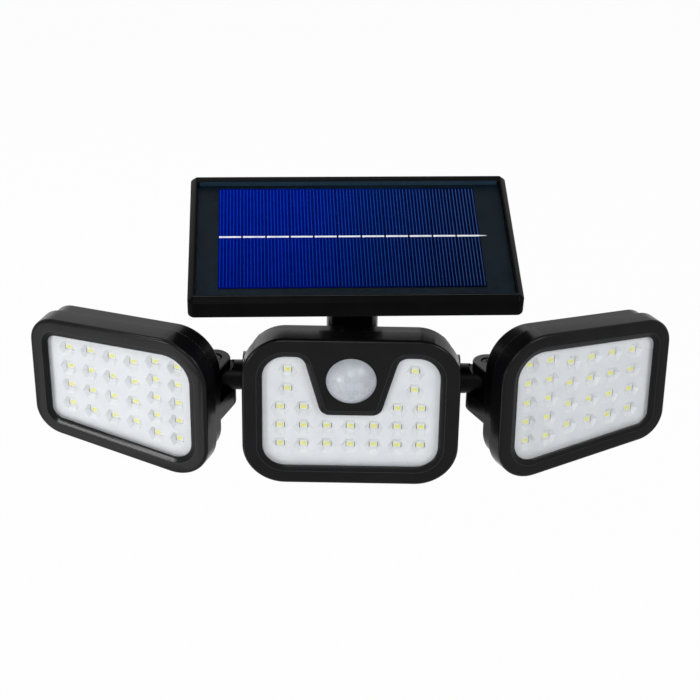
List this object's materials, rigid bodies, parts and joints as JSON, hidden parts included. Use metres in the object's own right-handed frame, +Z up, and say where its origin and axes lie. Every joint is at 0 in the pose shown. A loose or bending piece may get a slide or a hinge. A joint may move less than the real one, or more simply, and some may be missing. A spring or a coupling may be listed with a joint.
{
  "type": "solar wall lamp",
  "caption": "Solar wall lamp with a tilting panel on a neck, a centre LED head with a motion-sensor dome, and hinged side heads on arms, on a tilting wall bracket.",
  "frame": {"origin": "middle of the wall plate's back face, on the wall", "axes": "+Y into the wall, so the lamp faces -Y; +Z up; +X to the right as seen from the front"},
  "size_m": [0.295, 0.1158, 0.1489],
  "materials": {
    "casing": "satin moulded black ABS",
    "hinge_parts": "satin moulded black nylon",
    "clear_cover": "clear moulded polycarbonate",
    "dome": "milky moulded polyethylene",
    "led_board": "black solder mask",
    "reflector": "white moulded ABS",
    "led": "white package with yellow phosphor",
    "circuit_board": "green solder mask",
    "sensor_can": "nickel-plated steel can",
    "seal": "soft silicone",
    "fastener": "zinc-plated steel",
    "battery_sleeve": "cell can in a shrink sleeve",
    "panel_cover": "clear laminate",
    "backsheet": "dark blue-black sheet",
    "silicon": "blue polycrystalline silicon",
    "ribbon": "tinned copper"
  },
  "bodies": {
    "wall": {"wall_plate": "casing", "wall_hinge_bolt": "fastener", "wall_hinge_nut": "fastener"},
    "lamp": {"bracket_arm": "casing", "bracket_screws": "fastener", "centre_housing": "casing", "centre_bezel": "casing", "centre_gasket": "seal", "centre_lens": "clear_cover", "centre_reflector": "reflector", "centre_led_board": "led_board", "centre_leds": "led", "centre_case_screws": "fastener", "pir_dome": "dome", "pir_sensor": "sensor_can", "control_board": "circuit_board", "control_board_screws": "fastener", "mode_switch": "hinge_parts", "battery_cell": "battery_sleeve", "battery_cradle": "hinge_parts"},
    "button": {"mode_button": "hinge_parts"},
    "neck": {"neck_post": "casing", "neck_washer": "fastener", "neck_screw": "fastener"},
    "panel": {"panel_tray": "casing", "panel_backsheet": "backsheet", "solar_cells": "silicon", "bus_ribbons": "ribbon", "panel_glass": "panel_cover", "panel_bracket": "casing", "panel_bracket_screws": "fastener", "tilt_bolt": "fastener", "tilt_nut": "fastener"},
    "left_arm": {"left_arm": "hinge_parts", "left_arm_washer": "fastener", "left_arm_screw": "fastener"},
    "left_head": {"left_housing": "casing", "left_bezel": "casing", "left_gasket": "seal", "left_lens": "clear_cover", "left_reflector": "reflector", "left_led_board": "led_board", "left_leds": "led", "left_case_screws": "fastener", "left_pivot_screw": "fastener", "left_pivot_nut": "fastener"},
    "right_arm": {"right_arm": "hinge_parts", "right_arm_washer": "fastener", "right_arm_screw": "fastener"},
    "right_head": {"right_housing": "casing", "right_bezel": "casing", "right_gasket": "seal", "right_lens": "clear_cover", "right_reflector": "reflector", "right_led_board": "led_board", "right_leds": "led", "right_case_screws": "fastener", "right_pivot_screw": "fastener", "right_pivot_nut": "fastener"}
  },
  "joints": [
    {"name": "mount_tilt", "type": "hinge", "parent": "wall", "child": "lamp", "pos_m": [0, -0.02, 0.015], "axis": [1, 0, 0], "range_deg": [-10, 45]},
    {"name": "left_arm_pitch", "type": "hinge", "parent": "lamp", "child": "left_arm", "pos_m": [-0.0632, -0.065, 0.038], "axis": [1, 0, 0], "range_deg": [-64.3, 55.7]},
    {"name": "right_arm_pitch", "type": "hinge", "parent": "lamp", "child": "right_arm", "pos_m": [0.0632, -0.065, 0.038], "axis": [1, 0, 0], "range_deg": [-58.6, 61.4]},
    {"name": "left_head_yaw", "type": "hinge", "parent": "left_arm", "child": "left_head", "pos_m": [-0.0632, -0.065, 0.038], "axis": [0, -0.075, 0.9972], "range_deg": [-27, 23]},
    {"name": "right_head_yaw", "type": "hinge", "parent": "right_arm", "child": "right_head", "pos_m": [0.0632, -0.065, 0.038], "axis": [0, 0.0244, 0.9997], "range_deg": [-27.5, 22.5]},
    {"name": "panel_swivel", "type": "hinge", "parent": "lamp", "child": "neck", "pos_m": [0, -0.065, 0.058], "axis": [0, 0, 1], "range_deg": [-18.1, 11.9]},
    {"name": "panel_tilt", "type": "hinge", "parent": "neck", "child": "panel", "pos_m": [0, -0.065, 0.089], "axis": [0.9985, 0.0541, 0], "range_deg": [-29, 16]},
    {"name": "mode_button_press", "type": "slide", "parent": "lamp", "child": "button", "axis": [0, -1, 0], "range_m": [0, 0.0008], "stiffness_N_per_m": 500}
  ]
}
